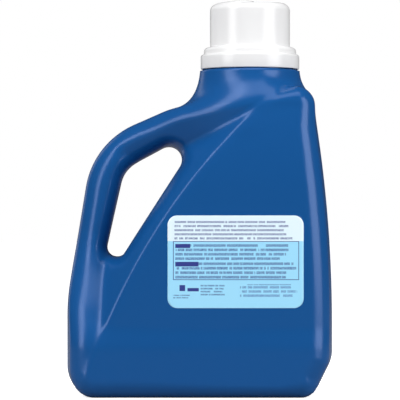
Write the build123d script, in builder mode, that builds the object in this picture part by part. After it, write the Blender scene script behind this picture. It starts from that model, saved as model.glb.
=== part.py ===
from build123d import *
from math import atan, degrees, radians, tan
import os

# Laundry detergent bottle with a side handle, a pour spout and a measuring cap.
# Millimetres, +Z up. The base stands on Z = 0, the handle is at -X, the wide faces look along Y.

# Bottle: overall sizes
BODY_WIDTH = 182.6
BODY_DEPTH = 105.0
COLLAR_TOP = 223.4
WALL = 1.2

# Bottle: body
BODY_EDGE = 15.0
FOOT_RADIUS = 16.0
FOOT_RUN = 12.7
FOOT_RISE = 25.5
HEEL_RADIUS = 20.0
SPINE_LEAN = 13.8
SPINE_TOP_DROP = 18.2
SPINE_BEND_DROP = 101.1
SPINE_RADIUS = 900.0
SHOULDER_RADIUS = 16.0
GRIP_SLOPE = 10.0
CREASE_BEND_IN = 61.8
CREASE_BEND_DROP = 89.4
CREASE_RADIUS = 450.0
CREASE_TOP_IN = 25.3
PUSH_UP = 3.0
PUSH_UP_TAPER = 40.0
STANDING_RING = 8.0

# Bottle: handle and its through hole
HANDLE_DEPTH = 34.0
HANDLE_EDGE = 9.5
HANDLE_BEND_IN = 19.2
HANDLE_BEND_DROP = 51.4
HANDLE_BEND_RADIUS = 40.0
LEG_BEND_Z = 65.9
LEG_RADIUS = 150.0
HANDLE_ROOT_DROP = 17.3
HANDLE_ROOT_RADIUS = 14.0
HEEL_STEP = 4.5
HEEL_FULL_Z = 32.0
HEEL_TOP_DROP = 125.4
HEEL_WIDTH = 36.0
FLARE_RADIUS = 60.0
# Centre from the left side and from the collar's top, then the radius, of the three rounds
# that the hole's straight sides join.
HOLE_ROUNDS = [(70.1, 62.4, 9.0), (56.7, 82.7, 20.0), (34.1, 122.5, 6.7)]

# Bottle: collar and threaded neck
NECK_IN = 56.5
COLLAR_LEDGE = 0.2
COLLAR_HEIGHT = 9.4
SHOULDER_FLARE = 8.2
SHOULDER_FALL = 9.8
WAIST_RADIUS = 16.0
WAIST_DROP = 52.0
CROWN_FLARE = 11.7
CROWN_DROP = 23.4
CROWN_SLOPE = 0.36
CROWN_REACH = 400.0
NECK_RADIUS = 29.9
NECK_WALL = 1.6
NECK_HEIGHT = 11.0
THREAD_PITCH = 5.0
THREAD_TURNS = 1.2
THREAD_HEIGHT = 1.8
THREAD_BASE = 2.2
THREAD_CREST = 0.9
THREAD_START = 2.0
THREAD_ROOT = 0.3
BORE_REACH = 2.4

# Pour spout
SPOUT_WALL = 1.0
PRESS_GAP = 0.05
FLANGE = 1.5
TROUGH_FALL = 7.0
SPOUT_RADIUS = 15.0
SPOUT_SHIFT = 5.0
SPOUT_RISE = 19.0
SPOUT_CUT = 22.0
DRAIN_WIDTH = 7.0

# Cap
SKIRT_WALL = 1.5
SKIRT_GAP = 0.5
THREAD_CLEARANCE = 0.9
THREAD_HEADROOM = 0.1
SKIRT_EDGE = 0.8
STEP_WALL = 1.4
STEP_CLEARANCE = 0.5
STEP_TOP = 2.0
CUP_LEDGE = 0.95
CUP_WALL = 1.3
CUP_HEIGHT = 31.4
CUP_EDGE = 5.0
CUP_DIP = 19.9
CUP_CLEARANCE = 0.5
RIM_CLEARANCE = 2.0
SWIRL_RISE = 1.2
SWIRL_BLADES = 5
SWIRL_SAG = 4.0
SWIRL_BELLY = 8.0
SWIRL_HUB = 2.0

# Labels
LABEL_CORNER = 6.4
LABEL_FILM = 0.15
LABEL_FROM_CREASE = 7.9
LABEL_FROM_SPINE = 21.5
LABEL_TOP_DROP = 10.9
LABEL_FOOT = 60.9

LEFT = -BODY_WIDTH / 2
RIGHT = BODY_WIDTH / 2
NECK_X = RIGHT - NECK_IN
NECK_TOP = COLLAR_TOP + NECK_HEIGHT
SPINE_BEND_Z = COLLAR_TOP - SPINE_BEND_DROP
CREASE_BEND_X = LEFT + CREASE_BEND_IN
CREASE_BEND_Z = COLLAR_TOP - CREASE_BEND_DROP
CREASE_TOP_X = RIGHT - CREASE_TOP_IN
HEEL_DEPTH = BODY_DEPTH - HEEL_STEP * 2
HEEL_TOP_Z = COLLAR_TOP - HEEL_TOP_DROP
THREAD_RISE = THREAD_PITCH * THREAD_TURNS
THREAD_TOP = COLLAR_TOP + THREAD_START + THREAD_RISE + THREAD_BASE / 2
SKIRT_RADIUS = NECK_RADIUS + THREAD_HEIGHT + THREAD_CLEARANCE + SKIRT_WALL
SKIRT_Z = COLLAR_TOP + SKIRT_GAP
SKIRT_TOP = THREAD_TOP + THREAD_HEADROOM + STEP_WALL
COLLAR_RADIUS = SKIRT_RADIUS + COLLAR_LEDGE
CROWN_RADIUS = COLLAR_RADIUS + CROWN_FLARE
BORE_RADIUS = NECK_RADIUS - NECK_WALL
SEAT_Z = NECK_TOP + FLANGE
CUP_FOOT = SEAT_Z + STEP_TOP
CUP_TOP = CUP_FOOT + CUP_HEIGHT
RIM_Z = SEAT_Z - CUP_DIP
STEP_RADIUS = NECK_RADIUS + STEP_CLEARANCE + STEP_WALL
FITMENT_RADIUS = BORE_RADIUS - PRESS_GAP
FITMENT_INSIDE = FITMENT_RADIUS - SPOUT_WALL
TUBE_RADIUS = FITMENT_INSIDE - CUP_CLEARANCE
CUP_RADIUS = TUBE_RADIUS + CUP_LEDGE
NECK_AXIS = Axis((NECK_X, 0, 0), (0, 0, 1))
FAR = 1500.0
BASE_REACH = 2.4
SPINE_REACH = 4.8
CREASE_SPARE = 2.0
SPINE_SPARE = 8.0


def bend_radius(wanted, before, corner, after, spare):
    """The wanted radius, or the largest that leaves spare on the shorter of the corner's sides."""
    last = Vector(*corner) - Vector(*before)
    following = Vector(*after) - Vector(*corner)
    turn = radians(last.get_angle(following))
    return min(wanted, (min(last.length, following.length) - spare) / tan(turn / 2))


def outline(corners, radii, inset):
    """Flat sketch with rounded corners, drawn in by inset on every side."""
    with BuildSketch() as flat:
        with BuildLine():
            FilletPolyline(corners, radius=radii, close=True)
        make_face()
        if inset:
            offset(amount=-inset, kind=Kind.INTERSECTION, mode=Mode.REPLACE)
    return flat.sketch


def body_block(inset):
    """Full-depth block. Its left side slopes from the crease in to the middle plane."""
    spine = [
        (RIGHT - FOOT_RUN, 0),
        (RIGHT, FOOT_RISE),
        (RIGHT, SPINE_BEND_Z),
        (RIGHT - SPINE_LEAN, COLLAR_TOP - SPINE_TOP_DROP),
    ]
    spine_radius = bend_radius(SPINE_RADIUS, *spine[1:], SPINE_SPARE)
    with BuildPart() as block:
        for face in (-1, 1):
            for slope, depth in ((GRIP_SLOPE, 0), (0, BODY_DEPTH / 2 - inset)):
                with BuildSketch(Plane.XZ.offset(face * depth)):
                    crease = [
                        (CREASE_TOP_X, COLLAR_TOP + slope),
                        (CREASE_BEND_X - slope, CREASE_BEND_Z),
                        (LEFT + HEEL_RADIUS, 0),
                    ]
                    crease_radius = bend_radius(CREASE_RADIUS, *crease, CREASE_SPARE)
                    radii = [FOOT_RADIUS, HEEL_RADIUS, spine_radius, SHOULDER_RADIUS]
                    add(outline(spine + crease, radii + [0, crease_radius, 0], inset))
            loft(ruled=True)
        rims = block.faces().filter_by(Axis.Y).edges()
        fillet(rims.filter_by(beside_spine), BODY_EDGE - inset)
    return block.part


def beside_spine(edge):
    """True for the rim edges of the base and the right side, and false along the crease."""
    at_spine = edge.bounding_box().min.X > CREASE_TOP_X - SPINE_REACH
    return edge.center().Z < BASE_REACH or at_spine


def handle_hole(grow):
    """Flat outline of the finger hole, grown by grow: the hull of three rounds."""
    with BuildSketch() as hole:
        with BuildLine():
            for from_left, drop, radius in HOLE_ROUNDS:
                CenterArc((LEFT + from_left, COLLAR_TOP - drop), radius + grow, 0, 360)
        make_hull()
    return hole.sketch


def handle_plate(inset):
    """The handle's side of the outline at the handle's depth, with the hole through it."""
    above = COLLAR_TOP + COLLAR_HEIGHT
    root_x = NECK_X - COLLAR_RADIUS
    corners = [
        (NECK_X - WAIST_RADIUS, 0),
        (NECK_X + WAIST_RADIUS, above),
        (root_x, above),
        (root_x, COLLAR_TOP - HANDLE_ROOT_DROP),
        (LEFT + HANDLE_BEND_IN, COLLAR_TOP - HANDLE_BEND_DROP),
        (LEFT, LEG_BEND_Z),
        (LEFT, 0),
    ]
    radii = [
        FOOT_RADIUS,
        FOOT_RADIUS,
        FOOT_RADIUS,
        HANDLE_ROOT_RADIUS,
        HANDLE_BEND_RADIUS,
        LEG_RADIUS,
        HEEL_RADIUS,
    ]
    with BuildPart() as plate:
        with BuildSketch(Plane.XZ):
            add(outline(corners, radii, inset))
            add(handle_hole(inset), mode=Mode.SUBTRACT)
        extrude(amount=HANDLE_DEPTH / 2 - inset, both=True)
        rims = plate.faces().filter_by(Axis.Y).edges()
        fillet(rims, HANDLE_EDGE - inset)
    return plate.part


def leg_heel(inset):
    """Lower end of the handle's leg, which flares to almost the depth of the body."""
    lean = (LEFT + HANDLE_BEND_IN, COLLAR_TOP - HANDLE_BEND_DROP)
    corners = [
        (LEFT, 0),
        (LEFT + HEEL_WIDTH, 0),
        (lean[0] + HEEL_WIDTH, lean[1]),
        lean,
        (LEFT, LEG_BEND_Z),
    ]
    radii = [HEEL_RADIUS, HANDLE_EDGE, HANDLE_EDGE, HANDLE_EDGE, LEG_RADIUS]
    deep = HEEL_DEPTH / 2
    thin = HANDLE_DEPTH / 2 - WALL
    flare = [
        (-deep, 0),
        (deep, 0),
        (deep, HEEL_FULL_Z),
        (thin, HEEL_TOP_Z),
        (-thin, HEEL_TOP_Z),
        (-deep, HEEL_FULL_Z),
    ]
    with BuildPart() as heel:
        with BuildSketch(Plane.XZ):
            add(outline(corners, radii, inset))
        extrude(amount=deep - inset, both=True)
        rims = heel.faces().filter_by(Axis.Y).edges()
        fillet(rims, HANDLE_EDGE - inset)
        with BuildSketch(Plane.YZ):
            add(outline(flare, [0, 0, FLARE_RADIUS, 0, 0, FLARE_RADIUS], inset))
        extrude(amount=BODY_WIDTH, both=True, mode=Mode.INTERSECT)
    return heel.part


def turned(side, inset):
    """Form turned about the neck's axis from the points of its right side, top first."""
    mirrored = [(-x, z) for x, z in reversed(side)]
    corners = side + mirrored
    with BuildPart() as form:
        with BuildSketch(Plane.XZ.move(Location((NECK_X, 0, 0)))):
            add(outline(corners, [0] * len(corners), inset))
            with Locations((0, side[0][1])):
                Rectangle(FAR, FAR, align=(Align.MIN, Align.CENTER), mode=Mode.INTERSECT)
        revolve(axis=NECK_AXIS)
    return form.part


def shoulder(inset):
    """Round collar under the cap and the double cone that carries it down into the body."""
    collar_foot = COLLAR_TOP - COLLAR_HEIGHT
    return turned(
        [
            (COLLAR_RADIUS, COLLAR_TOP),
            (COLLAR_RADIUS, collar_foot),
            (COLLAR_RADIUS + SHOULDER_FLARE, collar_foot - SHOULDER_FALL),
            (WAIST_RADIUS, COLLAR_TOP - WAIST_DROP),
        ],
        inset,
    )


def crown(inset):
    """Everything under the bell shape that trims the block and the plate near the neck."""
    crown_z = COLLAR_TOP - CROWN_DROP
    return turned(
        [
            (COLLAR_RADIUS - WALL, COLLAR_TOP - WALL),
            (COLLAR_RADIUS - WALL, COLLAR_TOP - COLLAR_HEIGHT),
            (CROWN_RADIUS, crown_z),
            (CROWN_REACH, crown_z - (CROWN_REACH - CROWN_RADIUS) * CROWN_SLOPE),
            (CROWN_REACH, -CROWN_REACH),
        ],
        inset,
    )


def push_up(grow):
    """Shallow hollow under the base, inside the ring that the bottle stands on."""
    left = LEFT + HEEL_RADIUS + STANDING_RING
    right = RIGHT - FOOT_RUN - FOOT_RADIUS + STANDING_RING / 2
    width = right - left
    depth = HEEL_DEPTH - (HANDLE_EDGE + STANDING_RING) * 2
    with BuildPart() as hollow:
        with BuildSketch():
            with Locations(((left + right) / 2, 0)):
                RectangleRounded(width + grow * 2, depth + grow * 2, FOOT_RADIUS)
        extrude(amount=PUSH_UP + grow, taper=PUSH_UP_TAPER)
    return hollow.part


def blown_form(inset):
    """The whole bottle up to the collar's top, drawn in by inset on every side."""
    with BuildPart() as form:
        add(body_block(inset))
        add(handle_plate(inset))
        add(leg_heel(inset))
        add(crown(inset), mode=Mode.INTERSECT)
        add(shoulder(inset))
        add(push_up(inset), mode=Mode.SUBTRACT)
    return form.part


# Bottle: one blown shell, the neck moulded on it with its outside thread
with BuildPart() as thread:
    with BuildLine() as helix:
        Helix(
            THREAD_PITCH,
            THREAD_RISE,
            NECK_RADIUS,
            center=(NECK_X, 0, COLLAR_TOP + THREAD_START),
        )
    start = helix.line @ 0
    with BuildSketch(Plane(start, x_dir=(1, 0, 0), z_dir=helix.line % 0)):
        with BuildLine():
            Polyline(
                (-THREAD_ROOT, -THREAD_BASE / 2),
                (THREAD_HEIGHT, -THREAD_CREST / 2),
                (THREAD_HEIGHT, THREAD_CREST / 2),
                (-THREAD_ROOT, THREAD_BASE / 2),
                close=True,
            )
        make_face()
    sweep(path=helix.line, is_frenet=True)

with BuildPart() as bottle:
    add(blown_form(0))
    add(blown_form(WALL), mode=Mode.SUBTRACT)
    with BuildSketch(Plane.XY.offset(COLLAR_TOP - WALL)):
        with Locations((NECK_X, 0)):
            Circle(NECK_RADIUS)
    extrude(amount=NECK_HEIGHT + WALL)
    with BuildSketch(Plane.XY.offset(COLLAR_TOP - BORE_REACH)):
        with Locations((NECK_X, 0)):
            Circle(BORE_RADIUS)
    extrude(amount=NECK_HEIGHT + BORE_REACH, mode=Mode.SUBTRACT)
    add(thread.part)

# Pour spout: pressed into the neck, its flange on the neck's lip
floor_z = RIM_Z - RIM_CLEARANCE - TROUGH_FALL / 2
floor_tilt = degrees(atan(TROUGH_FALL / (FITMENT_INSIDE * 2)))
floor_top = Plane((NECK_X, 0, floor_z)).rotated((0, -floor_tilt, 0))
floor_foot = floor_top.offset(-SPOUT_WALL)
lip_tilt = degrees(atan(SPOUT_CUT / (SPOUT_RADIUS * 2)))
spout_x = NECK_X + SPOUT_SHIFT
spout_top = SEAT_Z + SPOUT_RISE
lip_plane = Plane((spout_x + SPOUT_RADIUS, 0, spout_top)).rotated((0, -lip_tilt, 0))
low_z = floor_z - TROUGH_FALL

with BuildPart() as trough_space:
    with BuildSketch(Plane.XY.offset(low_z)):
        with Locations((NECK_X, 0)):
            Circle(FITMENT_INSIDE)
    extrude(amount=SEAT_Z - low_z)
    split(bisect_by=floor_top, keep=Keep.TOP)

with BuildPart() as spout_tube:
    with BuildSketch(Plane.XY.offset(low_z)):
        with Locations((spout_x, 0)):
            Circle(SPOUT_RADIUS)
    extrude(amount=spout_top - low_z)
    split(bisect_by=lip_plane, keep=Keep.BOTTOM)
    split(bisect_by=floor_foot, keep=Keep.TOP)

with BuildPart() as pour_spout:
    with BuildSketch(Plane.XY.offset(low_z)):
        with Locations((NECK_X, 0)):
            Circle(FITMENT_RADIUS)
    extrude(amount=SEAT_Z - low_z)
    split(bisect_by=floor_foot, keep=Keep.TOP)
    with BuildSketch(Plane.XY.offset(NECK_TOP)):
        with Locations((NECK_X, 0)):
            Circle(NECK_RADIUS)
    extrude(amount=FLANGE)
    add(trough_space.part, mode=Mode.SUBTRACT)
    add(spout_tube.part)
    with BuildSketch(Plane.XY.offset(low_z - TROUGH_FALL)):
        with Locations((spout_x, 0)):
            Circle(SPOUT_RADIUS - SPOUT_WALL)
    extrude(amount=spout_top - low_z + TROUGH_FALL * 2, mode=Mode.SUBTRACT)
    with BuildSketch(floor_top):
        with Locations((SPOUT_SHIFT - SPOUT_RADIUS, 0)):
            Rectangle(SPOUT_RADIUS, DRAIN_WIDTH)
    extrude(amount=spout_top - low_z, mode=Mode.SUBTRACT)

# One raised blade of the swirl on the cap, from its middle out towards its rim
blade_reach = CUP_RADIUS - CUP_EDGE
with BuildSketch() as blade:
    with BuildLine():
        SagittaArc((SWIRL_HUB, 0), (blade_reach, 0), SWIRL_SAG)
        SagittaArc((blade_reach, 0), (SWIRL_HUB, 0), -SWIRL_BELLY)
    make_face()

# Cap: cup above, skirt over the neck's thread, and the cup's rim down inside the pour spout
with BuildPart() as cap:
    with BuildSketch(Plane.XZ.move(Location((NECK_X, 0, 0)))):
        with BuildLine():
            Polyline(
                (0, CUP_TOP),
                (CUP_RADIUS, CUP_TOP),
                (CUP_RADIUS, CUP_FOOT),
                (STEP_RADIUS, CUP_FOOT),
                (STEP_RADIUS, SKIRT_TOP),
                (SKIRT_RADIUS, SKIRT_TOP),
                (SKIRT_RADIUS, SKIRT_Z),
                (SKIRT_RADIUS - SKIRT_WALL, SKIRT_Z),
                (SKIRT_RADIUS - SKIRT_WALL, SKIRT_TOP - STEP_WALL),
                (STEP_RADIUS - STEP_WALL, SKIRT_TOP - STEP_WALL),
                (STEP_RADIUS - STEP_WALL, SEAT_Z),
                (TUBE_RADIUS, SEAT_Z),
                (TUBE_RADIUS, RIM_Z),
                (TUBE_RADIUS - CUP_WALL, RIM_Z),
                (TUBE_RADIUS - CUP_WALL, CUP_FOOT),
                (CUP_RADIUS - CUP_WALL, CUP_FOOT + STEP_TOP),
                (CUP_RADIUS - CUP_WALL, CUP_TOP - CUP_WALL),
                (0, CUP_TOP - CUP_WALL),
                close=True,
            )
        make_face()
    revolve(axis=NECK_AXIS)
    rings = cap.edges().filter_by(GeomType.CIRCLE)
    top_rims = rings.group_by(Axis.Z)[-1]
    fillet(top_rims, CUP_EDGE)
    inside = cap.edges().filter_by(GeomType.CIRCLE).filter_by(
        lambda edge: abs(edge.center().Z - (CUP_TOP - CUP_WALL)) < PRESS_GAP
    )
    fillet(inside, CUP_EDGE - CUP_WALL)
    skirt_rims = cap.edges().filter_by(GeomType.CIRCLE).filter_by(
        lambda edge: abs(edge.radius - SKIRT_RADIUS) < PRESS_GAP
    )
    fillet(skirt_rims, SKIRT_EDGE)
    with BuildSketch(Plane.XY.offset(CUP_TOP)):
        with Locations((NECK_X, 0)):
            with PolarLocations(0, SWIRL_BLADES):
                add(blade.sketch)
    extrude(amount=SWIRL_RISE)


def label(side):
    """Printed film on the wide face that looks along side times -Y, between crease and spine."""
    left = CREASE_BEND_X + LABEL_FROM_CREASE
    right = RIGHT - LABEL_FROM_SPINE
    top = CREASE_BEND_Z - LABEL_TOP_DROP
    with BuildPart() as film:
        with BuildSketch(Plane.XZ.offset(side * BODY_DEPTH / 2)):
            with Locations(((left + right) / 2, (LABEL_FOOT + top) / 2)):
                RectangleRounded(right - left, top - LABEL_FOOT, LABEL_CORNER)
        extrude(amount=side * LABEL_FILM)
    return film.part


with BuildPart() as back_label:
    add(label(1))

with BuildPart() as front_label:
    add(label(-1))

bottle.part.label = "bottle"
pour_spout.part.label = "pour_spout"
cap.part.label = "cap"
back_label.part.label = "back_label"
front_label.part.label = "front_label"

os.makedirs("parts", exist_ok=True)
for piece in (bottle, pour_spout, cap, back_label, front_label):
    export_step(piece.part, "parts/" + piece.part.label + ".step")
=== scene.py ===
# %% [markdown]
# # A laundry detergent bottle
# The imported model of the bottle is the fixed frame: its pieces, their sizes and the way the cap
# lifts. This lesson builds the looks around it. The blown bottle, the cap and the labels are made
# again as finer meshes, and every surface gets a material made of nodes.

# %% Load the frame
import math

import bpy
import numpy as np
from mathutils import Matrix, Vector


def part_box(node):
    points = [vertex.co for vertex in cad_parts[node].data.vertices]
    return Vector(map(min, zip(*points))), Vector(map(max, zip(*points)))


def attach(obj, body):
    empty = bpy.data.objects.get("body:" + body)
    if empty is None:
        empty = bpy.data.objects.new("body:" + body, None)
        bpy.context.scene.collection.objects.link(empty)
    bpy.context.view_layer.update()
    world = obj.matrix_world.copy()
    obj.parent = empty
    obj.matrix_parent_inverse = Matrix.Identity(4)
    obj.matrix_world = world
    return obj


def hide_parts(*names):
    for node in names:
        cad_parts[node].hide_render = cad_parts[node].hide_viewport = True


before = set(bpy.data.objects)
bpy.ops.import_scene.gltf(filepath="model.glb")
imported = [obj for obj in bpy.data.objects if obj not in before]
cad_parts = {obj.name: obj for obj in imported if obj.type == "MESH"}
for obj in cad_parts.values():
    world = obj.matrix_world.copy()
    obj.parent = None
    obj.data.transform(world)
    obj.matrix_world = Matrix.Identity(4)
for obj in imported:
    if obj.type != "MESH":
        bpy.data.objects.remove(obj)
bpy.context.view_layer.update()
MM = 1000.0
bottle_low, bottle_high = (np.array(corner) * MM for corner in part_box("bottle"))
cap_low, cap_high = (np.array(corner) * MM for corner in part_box("cap"))
print("bottle", bottle_low.round(1), bottle_high.round(1), "cap", cap_low.round(1), cap_high.round(1))

# %% [markdown]
# ## Places that the pieces share
# Lengths are in millimetres while a shape is worked out, and turn into metres when its mesh is
# made. The sides, the depth, the neck's axis and the heights come from the frame.

# %% Shared places
LEFT, RIGHT = bottle_low[0], bottle_high[0]
HALF_DEPTH = bottle_high[1]
NECK_TOP = bottle_high[2]
NECK_HEIGHT = 11.0
COLLAR_TOP = NECK_TOP - NECK_HEIGHT
COLLAR_RADIUS = 34.3
NECK_X = (cap_low[0] + cap_high[0]) / 2


# %% [markdown]
# ## The blown bottle
# A blow-moulded bottle has no sharp edges: a tube of soft plastic is blown into a cold mould, and
# every face rolls into the next. Subdividing a cage by hand gives that roundness, but the hole of
# the handle and the long crease need many loops. Here the form is written as a field instead:
# a function that is negative inside the plastic, zero on its skin and positive outside. Two parts
# of the form join with a rounded minimum, and two limits meet with a rounded maximum.

# %% Rounded joins between fields
def rounded_limit(a, b, reach_a, reach_b):
    """The space inside both fields. Their shared edge is an ellipse of those two reaches."""
    corner = np.hypot(np.maximum(a / reach_a + 1, 0), np.maximum(b / reach_b + 1, 0))
    return (np.minimum(np.maximum(a / reach_a, b / reach_b), -1) + corner) * np.minimum(reach_a, reach_b)


def soft_join(a, b, width):
    """The space inside either field, with a hollow blend of that width between them."""
    mix = np.maximum(width - np.abs(a - b), 0) / width
    return np.minimum(a, b) - mix * mix * width / 4


def soft_rise(value, width):
    """Zero below, and rising one for one above, with a soft start of that width."""
    return (np.sqrt(value * value + width * width) + value) / 2


def ease(value, low, high):
    """Runs smoothly from 0 at low to 1 at high."""
    share = np.clip((value - low) / (high - low), 0, 1)
    return share * share * (3 - 2 * share)


# %% [markdown]
# ## Outlines with round corners
# Seen from the front, the bottle is an outline with a hole in it. Each corner is a point and a
# radius. The corner turns into an arc, and the distance to the closed line gives the field.

# %% Outline tools
ARC_STEP = 1.5


def rounded_outline(corners, step=ARC_STEP):
    """Points of a closed line through (x, z, radius) corners, each rounded by an arc."""
    points = []
    count = len(corners)
    for index, (x, z, radius) in enumerate(corners):
        here = np.array((x, z), float)
        to_last = np.array(corners[index - 1][:2]) - here
        to_next = np.array(corners[(index + 1) % count][:2]) - here
        to_last /= np.linalg.norm(to_last)
        to_next /= np.linalg.norm(to_next)
        half = math.acos(np.clip(to_last @ to_next, -1, 1)) / 2
        if radius == 0:
            points.append(here)
            continue
        middle = (to_last + to_next) / np.linalg.norm(to_last + to_next)
        centre = here + middle * radius / math.sin(half)
        start = here + to_last * radius / math.tan(half) - centre
        end = here + to_next * radius / math.tan(half) - centre
        turn = math.pi - half * 2
        steps = max(2, math.ceil(turn * radius / step))
        for share in np.linspace(0, 1, steps + 1):
            weight = np.sin((1 - share) * turn), np.sin(share * turn)
            points.append(centre + (start * weight[0] + end * weight[1]) / np.sin(turn))
    return np.array(points)


def outline_distance(points, x, z):
    """Distance from (x, z) to the closed line, negative inside it."""
    x, z = np.broadcast_arrays(x, z)
    nearest = np.full(x.shape, np.inf)
    inside = np.zeros(x.shape, bool)
    for (ax, az), (bx, bz) in zip(points, np.roll(points, -1, axis=0)):
        run_x, run_z = bx - ax, bz - az
        share = ((x - ax) * run_x + (z - az) * run_z) / (run_x * run_x + run_z * run_z)
        share = np.clip(share, 0, 1)
        away = (x - ax - share * run_x) ** 2 + (z - az - share * run_z) ** 2
        nearest = np.minimum(nearest, away)
        if az != bz:
            crossing = ((az > z) != (bz > z)) & (x < ax + (z - az) / run_z * run_x)
            inside ^= crossing
    return np.where(inside, -1, 1) * np.sqrt(nearest)


# %% [markdown]
# The bottle needs four such lines: its silhouette, the finger hole, the wide panel with the
# diagonal crease as its left edge, and the strip along which the handle keeps its full depth.

# %% The bottle's outlines
silhouette = rounded_outline([
    (RIGHT - 12.7, 0, 16),
    (RIGHT, 25.5, 20),
    (RIGHT, 122.3, 900),
    (RIGHT - 13.8, COLLAR_TOP - 18.2, 16),
    (RIGHT - 23, COLLAR_TOP - 12, 13),
    (-20, COLLAR_TOP - 27.1, 60),
    (LEFT + 17.6, COLLAR_TOP - 49.9, 57),
    (LEFT, 65.9, 150),
    (LEFT, 0, 20),
])
finger_hole = rounded_outline([
    (6.1, COLLAR_TOP - 36.4, 9),
    (-52.2, COLLAR_TOP - 69.6, 20),
    (-72.0, COLLAR_TOP - 157.9, 6.7),
])
wide_panel = rounded_outline([
    (150, -60, 0),
    (150, 300, 0),
    (80.5, 235, 0),
    (-29.5, 134, 440),
    (-92, -20, 0),
])
handle_strip = rounded_outline([
    (-200, -40, 0),
    (-62, -40, 0),
    (-70, 84, 90),
    (-62.5, 127, 40),
    (-55.5, 152, 30),
    (-58, 169.5, 8),
    (-17.5, 188.8, 80),
    (69, 204, 0),
    (69, 320, 0),
    (-200, 320, 0),
])
print("outline points", len(silhouette), len(finger_hole), len(wide_panel), len(handle_strip))

# %% [markdown]
# ## How deep the form is at each place
# The relief of the wide faces is one number at each place of the outline: the half depth. The
# flat panel is the deepest. It falls steeply past the diagonal crease, so that fingers reach the
# hole, and past the wedge's upper edge, where the shoulder leans back to the neck.

# %% Relief of the panel
PANEL_CROWN = 1.2
CROWN_X = 12
CROWN_REACH = 75
LEAN = 7
LEAN_Z = 140
LEAN_REACH = 65
CREASE_SLOPE = 1.6
CREASE_SOFTNESS = 1.4
WEDGE_X, WEDGE_Z = 2.2, 176
WEDGE_RISE = 0.546
WEDGE_COSINE = 0.878
WEDGE_SLOPE = 1.1
WEDGE_SOFTNESS = 4.2


def panel_depth(x, z):
    """Half depth of the wide panel, with its slopes past the crease and past the wedge."""
    crown = PANEL_CROWN * ((x - CROWN_X) / CROWN_REACH) ** 2
    lean = LEAN * np.clip((z - LEAN_Z) / LEAN_REACH, 0, 2) ** 2
    beyond_crease = outline_distance(wide_panel, x, z)
    above_wedge = (z - WEDGE_Z - (x - WEDGE_X) * WEDGE_RISE) * WEDGE_COSINE
    past_crease = CREASE_SLOPE * soft_rise(beyond_crease, CREASE_SOFTNESS)
    past_wedge = WEDGE_SLOPE * soft_rise(above_wedge, WEDGE_SOFTNESS)
    return HALF_DEPTH - crown - lean - past_crease - past_wedge


print("panel at the label", round(float(panel_depth(25, 100)), 2))

# %% [markdown]
# The handle has its own depth. It grows at its root towards the neck, flares towards the heel and
# slopes away outside its strip. Between the handle and the panel lies a hollow floor. The largest
# of the three wins, with a soft blend.

# %% Relief of the handle, joined to the panel
HANDLE_HALF_DEPTH = 17.5
ROOT_GAIN = 27
ROOT_START_X, ROOT_FULL_X = -58, 30
ROOT_START_Z, ROOT_FULL_Z = 120, 175
FLARE_GAIN = 33
FLARE_START_Z, FLARE_FULL_Z = 114, 34
STRIP_SLOPE = 0.5
STRIP_SOFTNESS = 2.5
FLOOR_HALF_DEPTH = 9.5
FLOOR_GAIN = 41.5
FLOOR_START_Z, FLOOR_FULL_Z = 94, 32
HANDLE_BLEND = 7
FLOOR_BLEND = 8


def half_depth(x, z):
    """Half of the bottle's depth at (x, z), before its rims are rounded."""
    root = ROOT_GAIN * ease(x, ROOT_START_X, ROOT_FULL_X) * ease(z, ROOT_START_Z, ROOT_FULL_Z)
    flare = FLARE_GAIN * ease(-z, -FLARE_START_Z, -FLARE_FULL_Z)
    beyond_strip = outline_distance(handle_strip, x, z)
    handle = HANDLE_HALF_DEPTH + root + flare - STRIP_SLOPE * soft_rise(beyond_strip, STRIP_SOFTNESS)
    floor = FLOOR_HALF_DEPTH + FLOOR_GAIN * ease(-z, -FLOOR_START_Z, -FLOOR_FULL_Z)
    joined = -soft_join(-panel_depth(x, z), -handle, HANDLE_BLEND)
    return -soft_join(-joined, -floor, FLOOR_BLEND)


print("handle", round(float(half_depth(-65, 150)), 2), "heel", round(float(half_depth(-70, 20)), 2))

# %% [markdown]
# The whole form has that depth inside the outline. Its rims are rounded by an ellipse, narrower
# towards the neck and wide again at the spine. The narrow sides swell by a few millimetres: the
# outline draws in towards the wide faces, but only where it runs upright, so the base stays flat.
# The collar joins with a hollow blend, which is tighter on the spine's side.

# %% The bottle's field
BELLY = 5.5
BELLY_FADE_Z, BELLY_END_Z = 180, 205
SLOPE_STEP = 0.05
RIM_WIDTH, RIM_DEPTH = 12.6, 16.5
NECK_SIDE_TRIM = 3.2
SPINE_GAIN = 3.4
DEEP_TRIM = 5
HOLE_RIM, HOLE_RIM_DEPTH = 9, 13
COLLAR_REACH = 40
COLLAR_EDGE = 0.8
COLLAR_BLEND = 20
SPINE_SIDE_TRIM = 10
TRIM_REACH = 30


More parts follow.
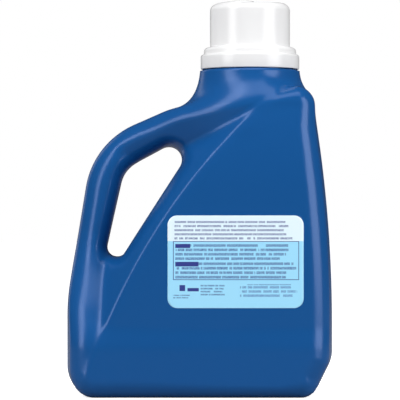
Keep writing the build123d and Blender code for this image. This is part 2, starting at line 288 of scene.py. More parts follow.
def bottle_field(x, y, z):
    """Negative inside the blown bottle's outer form, up to the collar's top."""
    ahead, behind = (outline_distance(silhouette, x + step, z) for step in (SLOPE_STEP, -SLOPE_STEP))
    upright = ((ahead - behind) / (2 * SLOPE_STEP)) ** 2
    belly = BELLY * upright * (1 - ease(z, BELLY_FADE_Z, BELLY_END_Z))
    side = (ahead + behind) / 2 + belly * (y / HALF_DEPTH) ** 2
    depth = half_depth(x, z)
    rim_width = RIM_WIDTH - NECK_SIDE_TRIM * ease(x, -50, 30) + SPINE_GAIN * ease(x, 50, 80)
    rim_depth = RIM_DEPTH - DEEP_TRIM * ease(depth, 20, 45)
    form = rounded_limit(side, np.abs(y) - depth, rim_width, rim_depth)
    form = rounded_limit(-outline_distance(finger_hole, x, z), form, HOLE_RIM, HOLE_RIM_DEPTH)
    from_axis = np.hypot(x - NECK_X, y)
    past_ends = np.maximum(z - COLLAR_TOP, COLLAR_TOP - COLLAR_REACH - z)
    collar = rounded_limit(from_axis - COLLAR_RADIUS, past_ends, COLLAR_EDGE, COLLAR_EDGE)
    blend = COLLAR_BLEND - SPINE_SIDE_TRIM * ease(x - NECK_X, 0, TRIM_REACH)
    joined = soft_join(form, collar, blend)
    return rounded_limit(joined, z - COLLAR_TOP, COLLAR_EDGE, COLLAR_EDGE)


# %% [markdown]
# ## From the field to a mesh
# A grid of samples finds the cells that the skin passes through. Each such cell gives one point
# and neighbouring cells give the quads, as in a surface net. Then each point walks along the
# field's slope onto the exact skin, so the small steps of the grid vanish.

# %% Surface net
def surface_net(field, low, high, step):
    """Points and quads where the field is zero, facing outwards."""
    axes = [np.arange(a, b + step, step) for a, b in zip(low, high)]
    x, y, z = np.meshgrid(*axes, indexing="ij", sparse=True)
    value = field(x, y, z) + np.zeros([len(axis) for axis in axes])
    cells = tuple(size - 1 for size in value.shape)
    cut_sum = np.zeros(cells + (3,))
    found = np.zeros(cells, int)

    def corner(offset):
        return value[tuple(slice(o, o + n) for o, n in zip(offset, cells))]

    for axis in range(3):
        for first in np.ndindex(2, 2, 2):
            if first[axis]:
                continue
            second = tuple(o + (index == axis) for index, o in enumerate(first))
            a, b = corner(first), corner(second)
            cut = (a < 0) != (b < 0)
            share = np.where(cut, a / np.where(cut, a - b, 1), 0)
            for index in range(3):
                cut_sum[..., index] += cut * (first[index] + (share if index == axis else 0))
            found += cut
    active = np.argwhere(found)
    number = np.full(cells, -1)
    number[found > 0] = np.arange(len(active))
    places = (active + cut_sum[found > 0] / found[found > 0][:, None]) * step + np.array(low)
    quads = []
    for axis in range(3):
        after = tuple(slice(1, None) if index == axis else slice(None) for index in range(3))
        before = tuple(slice(None, -1) if index == axis else slice(None) for index in range(3))
        starts = value[before] < 0
        ends = value[after] < 0
        u, v = [index for index in range(3) if index != axis]
        for facing, hits in ((1, starts & ~ends), (-1, ends & ~starts)):
            where = np.argwhere(hits)
            ring = []
            for du, dv in ((1, 1), (0, 1), (0, 0), (1, 0)):
                cell = where.copy()
                cell[:, u] -= du
                cell[:, v] -= dv
                ring.append(number[tuple(cell.T)])
            ring = np.stack(ring, axis=1)
            flip = (facing > 0) == (axis == 1)
            quads.append(ring[:, ::-1] if flip else ring)
    return places, np.concatenate(quads)


def settle(places, field, rounds=3, probe=0.05):
    """Moves each point along the field's slope onto the skin."""
    for _ in range(rounds):
        x, y, z = places.T
        value = field(x, y, z)
        ahead = (x + probe, y, z), (x, y + probe, z), (x, y, z + probe)
        slope = np.stack([(field(*point) - value) / probe for point in ahead], axis=1)
        steep = np.maximum((slope * slope).sum(axis=1), 0.2)
        places = places - np.clip(value / steep, -1, 1)[:, None] * slope
    return places


def make_mesh(name, places, faces, smooth=True):
    """A mesh object in metres from points in millimetres."""
    mesh = bpy.data.meshes.new(name)
    mesh.from_pydata((np.asarray(places) / MM).tolist(), [], [list(map(int, face)) for face in faces])
    mesh.validate()
    mesh.polygons.foreach_set("use_smooth", [smooth] * len(mesh.polygons))
    piece = bpy.data.objects.new(name, mesh)
    bpy.context.scene.collection.objects.link(piece)
    return piece


# %% [markdown]
# The real bottle is hollow, with a thin wall, and its neck is open. So the skin is made twice: the
# outer one, and an inner one that lies one wall deeper and faces inwards. Both are cut open where
# the neck stands, and the cut edges end inside the wall of the neck, where nobody sees them.

# %% Make the bottle's skins
WALL = 1.2
NECK_RADIUS = 29.9
BORE_RADIUS = 28.3
CUT_RADIUS = (NECK_RADIUS + BORE_RADIUS) / 2
CUT_DEPTH = 4


def open_at_neck(places, quads, top):
    """Drops the quads under the neck's bore and draws the cut edge onto one circle."""
    from_axis = np.hypot(places[:, 0] - NECK_X, places[:, 1])
    in_bore = (from_axis < CUT_RADIUS) & (places[:, 2] > top - CUT_DEPTH)
    cut = in_bore[quads].any(axis=1)
    kept = quads[~cut]
    edge = np.intersect1d(quads[cut], kept)
    reach = CUT_RADIUS / from_axis[edge]
    places[edge, 0] = NECK_X + (places[edge, 0] - NECK_X) * reach
    places[edge, 1] *= reach
    used, numbers = np.unique(kept, return_inverse=True)
    return places[used], numbers.reshape(-1, 4)


def bottle_skin(name, grid, depth):
    """The bottle's form, depth millimetres under its outer surface."""
    def field(x, y, z):
        return bottle_field(x, y, z) + depth

    margin = grid * 2
    low = (LEFT - margin, -HALF_DEPTH - margin, -margin)
    high = (RIGHT + margin, HALF_DEPTH + margin, COLLAR_TOP + margin)
    places, quads = surface_net(field, low, high, grid)
    places, quads = open_at_neck(settle(places, field), quads, COLLAR_TOP - depth)
    if depth:
        quads = quads[:, ::-1]
    print(name, len(quads), "quads", places.min(0).round(2), places.max(0).round(2))
    return make_mesh(name, places, quads)


SKIN_GRID = 1.5
LINER_GRID = 3
skin = bottle_skin("bottle_skin", SKIN_GRID, 0)
liner = bottle_skin("bottle_liner", LINER_GRID, WALL)

# %% [markdown]
# ## Turned pieces
# The neck and the cap are round, so each is one profile turned about the neck's axis. A closed
# profile makes a ring with a real wall. The small radii at its corners catch the light, and a
# moulded edge is never quite sharp.

# %% Lathe and helix
TURNS = 144


def lathe(name, profile, lift=None):
    """A ring turned about the neck from (radius, z) points. lift may raise each point."""
    angles = np.arange(TURNS) * (2 * math.pi / TURNS)
    radius, z = np.array(profile).T
    ring = np.stack([
        NECK_X + radius[None] * np.cos(angles)[:, None],
        radius[None] * np.sin(angles)[:, None],
        z[None] + np.zeros((TURNS, 1)),
    ], axis=2)
    if lift is not None:
        ring[..., 2] += lift(radius[None], angles[:, None], z[None])
    count = len(radius)
    faces = []
    for turn in range(TURNS):
        after = (turn + 1) % TURNS * count
        for index in range(count):
            follow = (index + 1) % count
            faces.append((turn * count + index, turn * count + follow, after + follow, after + index))
    return make_mesh(name, ring.reshape(-1, 3), faces)


THREAD_PITCH = 5
FADE_SHARE = 0.08
SUNK = 0.3


def thread_ridge(name, root, height, low_z, turns, base, crest):
    """A screw thread's ridge. Its ends fade into the wall, and height may be negative."""
    steps = int(TURNS * turns)
    sunk = -SUNK if height > 0 else SUNK
    places = []
    for step in range(steps + 1):
        share = step / steps
        angle = 2 * math.pi * turns * share
        raised = height * float(ease(min(share, 1 - share), 0, FADE_SHARE))
        z = low_z + THREAD_PITCH * turns * share
        section = (sunk, -base / 2), (raised, -crest / 2), (raised, crest / 2), (sunk, base / 2)
        for across, up in section:
            radius = root + across
            places.append((NECK_X + radius * math.cos(angle), radius * math.sin(angle), z + up))
    faces = [(0, 1, 2, 3), (steps * 4 + 3, steps * 4 + 2, steps * 4 + 1, steps * 4)]
    for step in range(steps):
        for side in range(4):
            a, b = step * 4 + side, step * 4 + (side + 1) % 4
            faces.append((a, a + 4, b + 4, b))
    return make_mesh(name, places, faces, smooth=False)


# %% [markdown]
# The neck's foot is sunk into the collar. Its thread is one ridge, a little more than a full turn.

# %% The bottle's neck and its thread
NECK_SUNK = 2.5
NECK_FOOT = COLLAR_TOP - NECK_SUNK
NECK_THREAD_Z = COLLAR_TOP + 2.4
NECK_THREAD_HEIGHT = 1.7
neck_ring = lathe("neck_ring", rounded_outline([
    (BORE_RADIUS, NECK_FOOT, 0.3),
    (NECK_RADIUS, NECK_FOOT, 0.3),
    (NECK_RADIUS, NECK_TOP, 0.5),
    (BORE_RADIUS, NECK_TOP, 0.4),
], step=0.2))
neck_thread = thread_ridge(
    "neck_thread", NECK_RADIUS, NECK_THREAD_HEIGHT, NECK_THREAD_Z, turns=1.2, base=2.4, crest=1.0,
)
print("neck", len(neck_ring.data.polygons), "faces, thread", len(neck_thread.data.polygons), "faces")

# %% [markdown]
# ## The measuring cap
# The cap is one white moulding: a cup with a swirl on its closed end, a step ring and a skirt.
# The swirl is three ramps that climb round the middle, and each falls off along a curved edge. It
# is height added to the cup's end, as a function of the angle and the radius.

# %% Cap
CAP_TOP = cap_high[2]
RIM_Z = cap_low[2]
SWIRL_RISE = 1.9
SKIRT_RADIUS = (cap_high[0] - cap_low[0]) / 2
SKIRT_Z = COLLAR_TOP + 0.5
SKIRT_TOP = SKIRT_Z + 10.1
SEAT_Z = NECK_TOP + 1.5
CUP_FOOT = SEAT_Z + 3
CUP_RADIUS = 27.7
CUP_TOP = CAP_TOP - SWIRL_RISE
CUP_CORNER = 4.6
CUP_BORE = 26.3
END_WALL = 1.4
STEP_RADIUS = 31.9
STEP_BORE = 30.5
SKIRT_BORE = SKIRT_RADIUS - 1.5
RIM_BORE = 25.5
AXIS_GAP = 0.02
RAMPS = 3
RAMP_SHARE = 0.93
SWEEP = 0.045
SWEEP_RADIUS = 18
MIDDLE_HEIGHT = 0.55
EDGE_FALL = 0.8
LIFTED_HEIGHT = 5


def swirl(radius, angle, z):
    """Height of the three ramps above the cup's flat end."""
    turned = angle + math.pi / 2 + (radius - SWEEP_RADIUS) * SWEEP
    phase = (RAMPS * turned / (2 * math.pi)) % 1
    ramp = np.where(phase < RAMP_SHARE, phase / RAMP_SHARE, (1 - phase) / (1 - RAMP_SHARE))
    inner = ease(radius, 0.3, 2.5)
    outer = 1 - EDGE_FALL * ease(radius, 19, 27)
    near_top = ease(z, CUP_TOP - LIFTED_HEIGHT, CUP_TOP)
    return near_top * SWIRL_RISE * (ramp * inner + MIDDLE_HEIGHT * (1 - inner)) * outer


def cap_profile():
    """The cap's closed section, with extra points across the flat end for the swirl."""
    section = rounded_outline([
        (CUP_RADIUS, CUP_TOP, CUP_CORNER),
        (CUP_RADIUS - 0.1, CUP_FOOT, 0.9),
        (STEP_RADIUS, CUP_FOOT, 2.9),
        (STEP_RADIUS, SKIRT_TOP, 0.4),
        (SKIRT_RADIUS, SKIRT_TOP, 1.7),
        (SKIRT_RADIUS, SKIRT_Z, 0.6),
        (SKIRT_BORE, SKIRT_Z, 0.4),
        (SKIRT_BORE, SKIRT_TOP - END_WALL, 0.4),
        (STEP_BORE, SKIRT_TOP - END_WALL, 0.3),
        (STEP_BORE, SEAT_Z, 0.3),
        (CUP_BORE + 0.5, SEAT_Z, 0.3),
        (CUP_BORE + 0.4, RIM_Z, 0.5),
        (RIM_BORE, RIM_Z, 0.5),
        (RIM_BORE, CUP_FOOT, 0.8),
        (CUP_BORE + 0.1, CUP_FOOT + 2, 0.8),
        (CUP_BORE, CUP_TOP - END_WALL, 3),
        (AXIS_GAP, CUP_TOP - END_WALL, 0),
        (AXIS_GAP, CUP_TOP, 0),
    ], step=0.35)
    across = np.linspace(AXIS_GAP, CUP_RADIUS - CUP_CORNER - 0.1, 40)[1:]
    return np.concatenate([section, [(radius, CUP_TOP) for radius in across]])


cap_shell = lathe("cap_shell", cap_profile(), lift=swirl)
CAP_THREAD_Z = SKIRT_Z + 2.2
cap_thread = thread_ridge("cap_thread", SKIRT_BORE, -0.4, CAP_THREAD_Z, turns=1.1, base=1.6, crest=0.7)
print("cap top", round(CAP_TOP, 2), "rim", round(RIM_Z, 2), "faces", len(cap_shell.data.polygons))

# %% [markdown]
# ## The labels
# A label is a thin film that lies on the panel, so its mesh takes its depth from the same relief
# as the bottle. Its rows follow the rounded corners. Each label is closed, with a real edge.

# %% Labels
LABEL_FILM = 0.15
FILM_SUNK = 0.1
LABEL_CORNER = 6.4
LABEL_COLUMNS = 70
LABEL_ROWS = 28
CORNER_ROWS = 9


def label_mesh(node, side):
    """A film on the wide face that looks along side times +Y, as large as its CAD node."""
    low, high = (np.array(corner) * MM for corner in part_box(node))
    turn = np.linspace(0, math.pi / 2, CORNER_ROWS)
    inset = LABEL_CORNER * (1 - np.sin(turn))
    ends = LABEL_CORNER * (1 - np.cos(turn))
    straight = np.linspace(low[2] + LABEL_CORNER, high[2] - LABEL_CORNER, LABEL_ROWS + 2)[1:-1]
    heights = np.concatenate([low[2] + ends, straight, high[2] - ends[::-1]])
    insets = np.concatenate([inset, np.zeros(LABEL_ROWS), inset[::-1]])
    across = np.linspace(0, 1, LABEL_COLUMNS)
    sheets = []
    for height in (LABEL_FILM, -FILM_SUNK):
        for z, cut in zip(heights, insets):
            x = low[0] + cut + across * (high[0] - low[0] - cut * 2)
            y = side * (half_depth(x, z) + height)
            sheets.append(np.stack([x, y, np.full_like(x, z)], axis=1))
    wide, tall = len(across), len(heights)
    number = np.arange(wide * tall).reshape(tall, wide)
    squares = number[:-1, :-1], number[:-1, 1:], number[1:, 1:], number[1:, :-1]
    outer = np.stack(squares, axis=2).reshape(-1, 4)
    inner = outer[:, ::-1] + wide * tall
    edge = np.concatenate([number[0, :-1], number[:-1, -1], number[-1, :0:-1], number[:0:-1, 0]])
    follow = np.roll(edge, -1)
    wall = np.stack([edge, edge + wide * tall, follow + wide * tall, follow], axis=1)
    faces = np.concatenate([outer, inner, wall])
    if side > 0:
        faces = faces[:, ::-1]
    return make_mesh(node + "_film", np.concatenate(sheets), faces)


back_film = label_mesh("back_label", -1)
front_film = label_mesh("front_label", 1)
print("labels", len(back_film.data.polygons), "and", len(front_film.data.polygons), "faces")

# %% [markdown]
# ## Which body each piece rides on
# The cap is on its own body, so it lifts off with everything that belongs to it. All the rest
# rides on the bottle. Each piece names the CAD node that it stands for and its material slot.

# %% Rides, nodes and slots
BODY_OF_PIECE = [
    (skin, "bottle_body", "bottle", "bottle_plastic"),
    (liner, "bottle_body", "bottle", "bottle_plastic"),
    (neck_ring, "bottle_body", "bottle", "bottle_plastic"),
    (neck_thread, "bottle_body", "bottle", "bottle_plastic"),
    (back_film, "bottle_body", "back_label", "label_film"),
    (front_film, "bottle_body", "front_label", "label_film"),
    (cap_shell, "cap_body", "cap", "cap_plastic"),
    (cap_thread, "cap_body", "cap", "cap_plastic"),
]
for piece, body, node, slot in BODY_OF_PIECE:
    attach(piece, body)
    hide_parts(node)
print(len(BODY_OF_PIECE), "pieces ride")

# %% [markdown]
# ## Node helpers
# Every material is made of nodes. A few small helpers keep the cells short: they add a node, link
# or set a socket, do a sum, mix two colours, and start a material or a group. Colours are written
# as sRGB numbers from 0 to 255 and turned into the linear numbers that a shader uses.

# %% Node helpers
def linear(red, green, blue):
    """A shader colour from sRGB numbers between 0 and 255."""
    share = [value / 255 for value in (red, green, blue)]
    return tuple(v / 12.92 if v <= 0.04045 else ((v + 0.055) / 1.055) ** 2.4 for v in share) + (1.0,)


def feed(tree, socket, value):
    """Links an output to a socket, or sets the socket to a plain value."""
    if isinstance(value, bpy.types.NodeSocket):
        tree.links.new(value, socket)
    else:
        socket.default_value = value


def add_node(tree, kind, settings=None, **values):
    """A node of that kind. Input names are written with _ for a space."""
    node = tree.nodes.new(kind)
    for name, value in (settings or {}).items():
        setattr(node, name, value)
    for name, value in values.items():
        feed(tree, node.inputs[name.replace("_", " ")], value)
    return node


def sum_of(tree, operation, *values):
    """One sum on numbers or outputs."""
    node = tree.nodes.new("ShaderNodeMath")
    node.operation = operation
    for socket, value in zip(node.inputs, values):
        feed(tree, socket, value)
    return node.outputs[0]


def colour_mix(tree, share, below, above):
    """below where share is 0, above where it is 1."""
    node = tree.nodes.new("ShaderNodeMix")
    node.data_type = "RGBA"
    for name, value in (("Factor_Float", share), ("A_Color", below), ("B_Color", above)):
        socket = next(item for item in node.inputs if item.identifier == name)
        feed(tree, socket, value)
    return next(item for item in node.outputs if item.identifier == "Result_Color")


def new_material(name):
    """An empty node material with its Principled shader."""
    material = bpy.data.materials.new(name)
    material.use_nodes = True
    tree = material.node_tree
    return material, tree, tree.nodes["Principled BSDF"]


def new_group(name, inputs, outputs):
    """A shader node group with number inputs, given as (name, default), and named outputs."""
    group = bpy.data.node_groups.new(name, "ShaderNodeTree")
    for title, value in inputs:
        socket = group.interface.new_socket(title, in_out="INPUT", socket_type="NodeSocketFloat")
        socket.default_value = value
    for title in outputs:
        group.interface.new_socket(title, in_out="OUTPUT", socket_type="NodeSocketFloat")
    return group, group.nodes.new("NodeGroupInput").outputs, group.nodes.new("NodeGroupOutput").inputs


def paint(material, *pieces):
    """Gives pieces one material."""
    for piece in pieces:
        piece.data.materials.clear()
        piece.data.materials.append(material)


# %% [markdown]
# ## Moulded grain, shared by every plastic
# Steel moulds are polished or lightly blasted, and the plastic copies them. The result is a grain
# much finer than a millimetre, and slow changes of gloss where the skin cooled unevenly. One
# group makes both, and each plastic gives it its own numbers.

# %% The grain group
grain_group, grain_in, grain_out = new_group(
    "moulded_grain",
    [("Grain Size", 0.4), ("Gloss", 0.3), ("Gloss Change", 0.05), ("Change Size", 40.0)],
    ["Height", "Roughness"],
)
place = add_node(grain_group, "ShaderNodeTexCoord").outputs["Object"]
fine = add_node(
    grain_group, "ShaderNodeTexNoise", Vector=place, Detail=3.0, Roughness=0.6,
    Scale=sum_of(grain_group, "DIVIDE", MM, grain_in["Grain Size"]),
).outputs["Fac"]
slow = add_node(
    grain_group, "ShaderNodeTexNoise", Vector=place, Detail=2.0,
    Scale=sum_of(grain_group, "DIVIDE", MM, grain_in["Change Size"]),
).outputs["Fac"]
grain_group.links.new(fine, grain_out["Height"])
roughness = grain_in["Gloss"]
for noise in (slow, fine):
    centred = sum_of(grain_group, "SUBTRACT", noise, 0.5)
    swing = sum_of(grain_group, "MULTIPLY", centred, grain_in["Gloss Change"])
    roughness = sum_of(grain_group, "ADD", roughness, swing)
grain_group.links.new(roughness, grain_out["Roughness"])


def grain(tree, size, gloss, change, change_size):
    """Places the grain group and gives back its height and roughness."""
    node = tree.nodes.new("ShaderNodeGroup")
    node.node_tree = grain_group
    node.inputs["Grain Size"].default_value = size
    node.inputs["Gloss"].default_value = gloss
    node.inputs["Gloss Change"].default_value = change
    node.inputs["Change Size"].default_value = change_size
    return node.outputs["Height"], node.outputs["Roughness"]


def grainy_finish(tree, shader, strength, distance=0.0002, **numbers):
    """Gives the shader the grain's roughness and bump, and gives back the bump's normal."""
    height, roughness = grain(tree, **numbers)
    bump = add_node(tree, "ShaderNodeBump", Height=height, Strength=strength, Distance=distance)
    feed(tree, shader.inputs["Roughness"], roughness)
    feed(tree, shader.inputs["Normal"], bump.outputs[0])
    return bump.outputs[0]


print(grain_group.name, len(grain_group.nodes), "nodes")


# %% [markdown]
# ## Blue blown polyethylene
# The bottle's plastic is coloured right through and has a satin skin. A faint raised line runs
# round the middle plane, where the two halves of the mould closed. The line is bump, with a
# height made from the distance to that plane.

# %% Bottle plastic
BLUE = linear(17, 79, 141)
BLUE_SHEEN = (0.5, 0.62, 1.0, 1.0)
LINE_WIDTH = 0.5


def parting_line(tree, width):
    """A ridge that is 1 on the plane between the mould halves and 0 beyond width millimetres."""
    place = add_node(tree, "ShaderNodeTexCoord").outputs["Object"]
    across = add_node(tree, "ShaderNodeSeparateXYZ", Vector=place).outputs["Y"]
    away = sum_of(tree, "MULTIPLY", sum_of(tree, "ABSOLUTE", across), MM / width)
    return sum_of(tree, "MAXIMUM", sum_of(tree, "SUBTRACT", 1.0, away), 0.0)


def bottle_material():
    """Satin blue plastic."""
    material, tree, shader = new_material("blue_polyethylene")
    shader.inputs["Base Color"].default_value = BLUE
    shader.inputs["Specular Tint"].default_value = BLUE_SHEEN
    grainy = grainy_finish(tree, shader, 0.04, size=0.5, gloss=0.24, change=0.05, change_size=45)
    line = add_node(
        tree, "ShaderNodeBump", Height=parting_line(tree, LINE_WIDTH), Strength=0.5,
        Distance=0.0002, Normal=grainy,
    )
    feed(tree, shader.inputs["Normal"], line.outputs[0])
    return material


blue_plastic = bottle_material()
paint(blue_plastic, skin, liner, neck_ring, neck_thread)
print(blue_plastic.name, len(blue_plastic.node_tree.nodes), "nodes")

# %% [markdown]
# ## White cap and blue spout
# Both are injection moulded. The cap is white polypropylene with the faintest grain. The spout is
# polyethylene like the bottle, in a blue that is a little lighter.

# %% Cap and spout plastics
WHITE = linear(228, 228, 229)
SPOUT_BLUE = linear(30, 96, 160)


def moulded_material(name, colour, strength, **numbers):
    """One plain plastic with the shared grain."""
    material, tree, shader = new_material(name)
    shader.inputs["Base Color"].default_value = colour
    grainy_finish(tree, shader, strength, **numbers)
    return material


white_plastic = moulded_material(
    "white_polypropylene", WHITE, 0.03, size=0.7, gloss=0.24, change=0.05, change_size=18,
)
spout_plastic = moulded_material(
    "spout_polyethylene", SPOUT_BLUE, 0.04, size=0.5, gloss=0.28, change=0.05, change_size=20,
)
paint(white_plastic, cap_shell, cap_thread)
paint(spout_plastic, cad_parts["pour_spout"])
print(white_plastic.name, spout_plastic.name)

# %% [markdown]
# ## Print on the label
# The label carries small print. Here it is only rows of ink: one group turns a place on the film
# into rows, breaks each row into word lengths with noise, and gives back a mask. Each block of
# print places the group with its own edges and row height, all in millimetres.

# %% The rows-of-ink group
ROW_INPUTS = [
    ("X", 0.0), ("Z", 0.0), ("Left", 0.0), ("Right", 10.0), ("Top", 10.0),
    ("Pitch", 2.0), ("Rows", 3.0), ("Ink Height", 0.5), ("Word Size", 4.0),
]
RAGGED_SHARE = 0.14
GAP_LEVEL = 0.33
rows_group, row_in, row_out = new_group("rows_of_ink", ROW_INPUTS, ["Ink"])


def build_rows():
    """Fills the group with the sums for its mask."""
    tree = rows_group
    below_top = sum_of(tree, "SUBTRACT", row_in["Top"], row_in["Z"])
    down = sum_of(tree, "DIVIDE", below_top, row_in["Pitch"])
    row = sum_of(tree, "FLOOR", down)
    part = sum_of(tree, "FRACT", down)
    off_middle = sum_of(tree, "ABSOLUTE", sum_of(tree, "SUBTRACT", part, 0.5))
    in_row = sum_of(tree, "LESS_THAN", off_middle, sum_of(tree, "MULTIPLY", row_in["Ink Height"], 0.5))
    started = sum_of(tree, "GREATER_THAN", down, 0.0)
    ended = sum_of(tree, "LESS_THAN", down, row_in["Rows"])
    seed = add_node(tree, "ShaderNodeCombineXYZ", X=row, Y=row_in["Top"])
    ragged = add_node(tree, "ShaderNodeTexWhiteNoise", {"noise_dimensions": "2D"}, Vector=seed.outputs[0])
    width = sum_of(tree, "SUBTRACT", row_in["Right"], row_in["Left"])
    short_share = sum_of(tree, "MULTIPLY", ragged.outputs["Value"], RAGGED_SHARE)
    last = sum_of(tree, "SUBTRACT", row_in["Right"], sum_of(tree, "MULTIPLY", short_share, width))
    past_left = sum_of(tree, "GREATER_THAN", row_in["X"], row_in["Left"])
    before_end = sum_of(tree, "LESS_THAN", row_in["X"], last)
    along = add_node(
        tree, "ShaderNodeCombineXYZ", X=sum_of(tree, "DIVIDE", row_in["X"], row_in["Word Size"]),
        Y=sum_of(tree, "MULTIPLY", row, 5.3), Z=row_in["Top"],
    )
    words = add_node(tree, "ShaderNodeTexNoise", Vector=along.outputs[0], Scale=2.2, Detail=0.0)
    word = sum_of(tree, "GREATER_THAN", words.outputs["Fac"], GAP_LEVEL)
    closer = add_node(
        tree, "ShaderNodeCombineXYZ", X=sum_of(tree, "MULTIPLY", row_in["X"], 1.9),
        Y=sum_of(tree, "MULTIPLY", row_in["Z"], 1.2), Z=row,
    )
    strokes = add_node(tree, "ShaderNodeTexNoise", Vector=closer.outputs[0], Scale=1.6, Detail=1.0)
    ink = add_node(
        tree, "ShaderNodeMapRange", Value=strokes.outputs["Fac"],
        From_Min=0.35, From_Max=0.62, To_Min=0.3, To_Max=0.85,
    )
    mask = ink.outputs[0]
    for part_mask in (in_row, started, ended, past_left, before_end, word):
        mask = sum_of(tree, "MULTIPLY", mask, part_mask)
    tree.links.new(mask, row_out["Ink"])


build_rows()
print(rows_group.name, len(rows_group.nodes), "nodes")

# %% [markdown]
# ## Places on the film
# The print is laid out in millimetres. These helpers find the place on the film, put one block of
# rows there, and make the mask of a filled box or of a thin frame.

# %% Print helpers
def film_place(tree):
    """The place on the film, as x and z in millimetres."""
    place = add_node(tree, "ShaderNodeTexCoord").outputs["Object"]
    parts = add_node(tree, "ShaderNodeSeparateXYZ", Vector=place)
    return [sum_of(tree, "MULTIPLY", parts.outputs[axis], MM) for axis in ("X", "Z")]


def rows(tree, x, z, left, right, top, pitch, count, ink_height, word_size):
    """Places the rows-of-ink group."""
    node = tree.nodes.new("ShaderNodeGroup")
    node.node_tree = rows_group
    values = (x, z, left, right, top, pitch, count, ink_height, word_size)
    for (name, _), value in zip(ROW_INPUTS, values):
        feed(tree, node.inputs[name], value)
    return node.outputs["Ink"]


def in_box(tree, x, z, left, right, low, high):
    """1 inside the upright rectangle and 0 outside it."""
    from_x = sum_of(tree, "ABSOLUTE", sum_of(tree, "SUBTRACT", x, (left + right) / 2))
    from_z = sum_of(tree, "ABSOLUTE", sum_of(tree, "SUBTRACT", z, (low + high) / 2))
    wide = sum_of(tree, "LESS_THAN", from_x, (right - left) / 2)
    tall = sum_of(tree, "LESS_THAN", from_z, (high - low) / 2)
    return sum_of(tree, "MULTIPLY", wide, tall)


def frame_line(tree, x, z, left, right, low, high, width):
    """1 on a thin line round the rectangle."""
    outer = in_box(tree, x, z, left, right, low, high)
    inner = in_box(tree, x, z, left + width, right - width, low + width, high - width)
    return sum_of(tree, "SUBTRACT", outer, inner)


def film_finish(tree, shader, colour):
    """The film's own gloss, under its colour."""
    feed(tree, shader.inputs["Base Color"], colour)
    grainy_finish(
        tree, shader, 0.02, distance=0.0001, size=0.6, gloss=0.3, change=0.04, change_size=25,
    )


# %% [markdown]
# ## The back label
# A pale band lies above a light field. A thin frame holds two paragraphs, each with a dark bar at
# its head, and small blocks of print stand under it.

# %% Back label print
INK = linear(52, 62, 138)
SOFT_INK = linear(84, 118, 178)
PALE_BAND = linear(226, 244, 254)
LIGHT_FIELD = linear(158, 220, 250)
BAND_Z = 105.9
FRAME_BOX = (-17.9, 66.7, 79.8, BAND_Z)
FRAME_WIDTH = 0.45
# Blocks of rows: left, right, top, pitch, rows, ink height as a share of the pitch, word size.
SOFT_BLOCKS = [
    (32, 66, 77.4, 1.5, 1, 0.5, 2),
    (27, 66, 76.3, 2.8, 3, 0.56, 4),
]
DARK_BLOCKS = [
    (-17, 66, 120.1, 2.75, 5, 0.52, 4),
    (-16.4, 62, 104.4, 2.93, 4, 0.58, 3.4),
    (-16.4, 65.5, 92.2, 3.0, 4, 0.58, 3.4),
    (0.6, 17, 77, 2, 4, 0.5, 2.6),
    (-17.8, -6.5, 70.3, 1.6, 2, 0.5, 2),
]
# Filled boxes: left, right, low, high.
BARS = [
    (-16.4, -6.4, 101.3, 104),
    (-16.4, -0.8, 88.9, 92),
    (-8.2, -0.6, 72.2, 74.4),
    (-13.6, -9.8, 72.4, 76.4),
]


def back_label_material():
    """Pale band, light field, a thin frame and rows of small print."""
    material, tree, shader = new_material("back_print")
    x, z = film_place(tree)
    colour = colour_mix(tree, sum_of(tree, "GREATER_THAN", z, BAND_Z), LIGHT_FIELD, PALE_BAND)
    for block in SOFT_BLOCKS:
        colour = colour_mix(tree, rows(tree, x, z, *block), colour, SOFT_INK)
    masks = [rows(tree, x, z, *block) for block in DARK_BLOCKS]
    masks.append(frame_line(tree, x, z, *FRAME_BOX, FRAME_WIDTH))
    masks.extend(in_box(tree, x, z, *bar) for bar in BARS)
    for mask in masks:
        colour = colour_mix(tree, mask, colour, INK)
    film_finish(tree, shader, colour)
    return material


back_print = back_label_material()
paint(back_print, back_film)
print(back_print.name, len(SOFT_BLOCKS) + len(DARK_BLOCKS), "blocks of rows")

# %% [markdown]
# ## The front label
# The far face is generic: a field with a dark lower part and two sweeping bands. One sine wave
# bends the line between them.

# %% Front label print
WAVE_PER_MM = 0.035
WAVE_HEIGHT = 9.0
WAVE_Z = 84.0
BAND_HALF = 2.2
PALE_FROM = 14.0
DEEP_FIELD = linear(34, 92, 168)
WHITE_BAND = linear(250, 252, 255)


def front_label_material():
    """A generic front: a light field with two sweeping bands."""
    material, tree, shader = new_material("front_print")
    x, z = film_place(tree)
    wave = sum_of(tree, "SINE", sum_of(tree, "MULTIPLY", x, WAVE_PER_MM))
    bend = sum_of(tree, "MULTIPLY", wave, WAVE_HEIGHT)
    line = sum_of(tree, "SUBTRACT", sum_of(tree, "SUBTRACT", z, WAVE_Z), bend)
    upper = sum_of(tree, "GREATER_THAN", line, 0.0)
    band = sum_of(tree, "LESS_THAN", sum_of(tree, "ABSOLUTE", line), BAND_HALF)
    far = sum_of(tree, "GREATER_THAN", line, PALE_FROM)
    colour = colour_mix(tree, upper, DEEP_FIELD, LIGHT_FIELD)
    colour = colour_mix(tree, band, colour, WHITE_BAND)
    colour = colour_mix(tree, far, colour, PALE_BAND)
    film_finish(tree, shader, colour)
    return material


front_print = front_label_material()
paint(front_print, front_film)
print(front_print.name, len(front_print.node_tree.nodes), "nodes")

# %% [markdown]
# ## Camera
# The eye is level with the bottle's middle and far away, with a long lens, so the wide face shows
# almost without perspective.

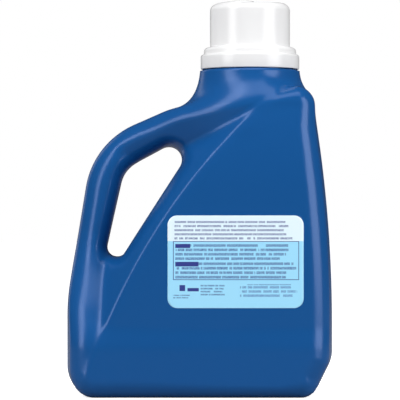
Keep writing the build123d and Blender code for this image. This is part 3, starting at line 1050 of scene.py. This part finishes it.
# %% Camera
EYE_DISTANCE = 1.7
EYE_X, EYE_Z = 0.0002, 0.1335
VIEW_WIDTH = 0.277
SENSOR = 36.0
camera_data = bpy.data.cameras.new("camera")
camera_data.sensor_width = SENSOR
camera_data.lens = SENSOR * EYE_DISTANCE / VIEW_WIDTH
camera = bpy.data.objects.new("camera", camera_data)
camera.location = (EYE_X, -EYE_DISTANCE, EYE_Z)
camera.rotation_euler = (math.pi / 2, 0, 0)
bpy.context.scene.collection.objects.link(camera)
bpy.context.scene.camera = camera
print("lens", round(camera_data.lens, 1))

# %% [markdown]
# ## Light
# Satin plastic shows its form through what it mirrors. Two softboxes on the left, one above the
# other, draw the light lines along the handle and the crease. A tall one on the right draws the
# spine and the neck's edge, one behind on the left lights the far rim, and one overhead lights the
# shoulder. Between them it stays dark, so the wide panel keeps its colour.

# %% Softboxes
TARGET = Vector((0, 0, 0.14))


def softbox(name, turn, rise, distance, width, height, strength):
    """A rectangular lamp. turn is measured from the camera's side towards +X, in degrees."""
    data = bpy.data.lights.new(name, "AREA")
    data.shape = "RECTANGLE"
    data.size, data.size_y = width, height
    data.energy = strength * width * height * math.pi
    lamp = bpy.data.objects.new(name, data)
    a, e = math.radians(turn), math.radians(rise)
    away = Vector((math.sin(a) * math.cos(e), -math.cos(a) * math.cos(e), math.sin(e)))
    lamp.location = TARGET + away * distance
    lamp.rotation_mode = "QUATERNION"
    lamp.rotation_quaternion = away.to_track_quat("Z", "Y")
    bpy.context.scene.collection.objects.link(lamp)


# Name, turn, rise, distance, width, height, strength.
SOFTBOXES = [
    ("left_strip", -52, 20, 1.3, 0.5, 1.05, 4.6),
    ("left_high", -48, 54, 1.3, 0.5, 0.7, 4.0),
    ("left_rim", -142, 8, 1.4, 0.4, 1.4, 0.6),
    ("right_strip", 58, 4, 1.3, 0.76, 1.7, 4.6),
    ("overhead", 10, 72, 1.2, 1.0, 0.7, 2.2),
]
for row in SOFTBOXES:
    softbox(*row)
print(len(SOFTBOXES), "softboxes")

# %% [markdown]
# ## Floor and world
# The camera sees a white world and an almost white floor, and the floor keeps a soft shadow. All
# other rays see them as grey, and mirrored rays see almost nothing, so the plastic mirrors only the
# softboxes.

# %% Floor and world
WHITE_LIGHT = (1, 1, 1, 1)
BLACK = (0, 0, 0, 1)
ROOM_GREY = (0.42, 0.42, 0.42, 1)
MIRRORED_GREY = (0.04, 0.04, 0.04, 1)
FLOOR_SEEN = (0.9, 0.9, 0.9, 1)
FLOOR_GREY = (0.3, 0.3, 0.3, 1)
FLOOR_GLOW = 0.75
FLOOR_ROUGHNESS = 0.9
FLOOR_REACH = 6


def light_path(tree, name):
    """One of Light Path's answers."""
    return tree.nodes.new("ShaderNodeLightPath").outputs[name]


def make_world():
    """White to the camera, a quiet grey to everything else."""
    world = bpy.data.worlds.new("world")
    world.use_nodes = True
    tree = world.node_tree
    background = tree.nodes["Background"]
    seen = light_path(tree, "Is Camera Ray")
    mirrored = light_path(tree, "Is Glossy Ray")
    quiet = colour_mix(tree, mirrored, ROOM_GREY, MIRRORED_GREY)
    feed(tree, background.inputs["Color"], colour_mix(tree, seen, quiet, WHITE_LIGHT))
    bpy.context.scene.world = world


def make_floor():
    """A wide plane at the height that the bottle stands on."""
    mesh = bpy.data.meshes.new("floor")
    corners = [(x * FLOOR_REACH, y * FLOOR_REACH, 0) for x, y in ((-1, -1), (1, -1), (1, 1), (-1, 1))]
    mesh.from_pydata(corners, [], [(0, 1, 2, 3)])
    floor = bpy.data.objects.new("floor", mesh)
    bpy.context.scene.collection.objects.link(floor)
    material, tree, shader = new_material("floor")
    seen = light_path(tree, "Is Camera Ray")
    feed(tree, shader.inputs["Base Color"], colour_mix(tree, seen, FLOOR_GREY, FLOOR_SEEN))
    shader.inputs["Roughness"].default_value = FLOOR_ROUGHNESS
    feed(tree, shader.inputs["Emission Color"], colour_mix(tree, seen, BLACK, WHITE_LIGHT))
    shader.inputs["Emission Strength"].default_value = FLOOR_GLOW
    floor.data.materials.append(material)


make_world()
make_floor()
bpy.context.scene.view_settings.view_transform = "Standard"
print("world and floor made")
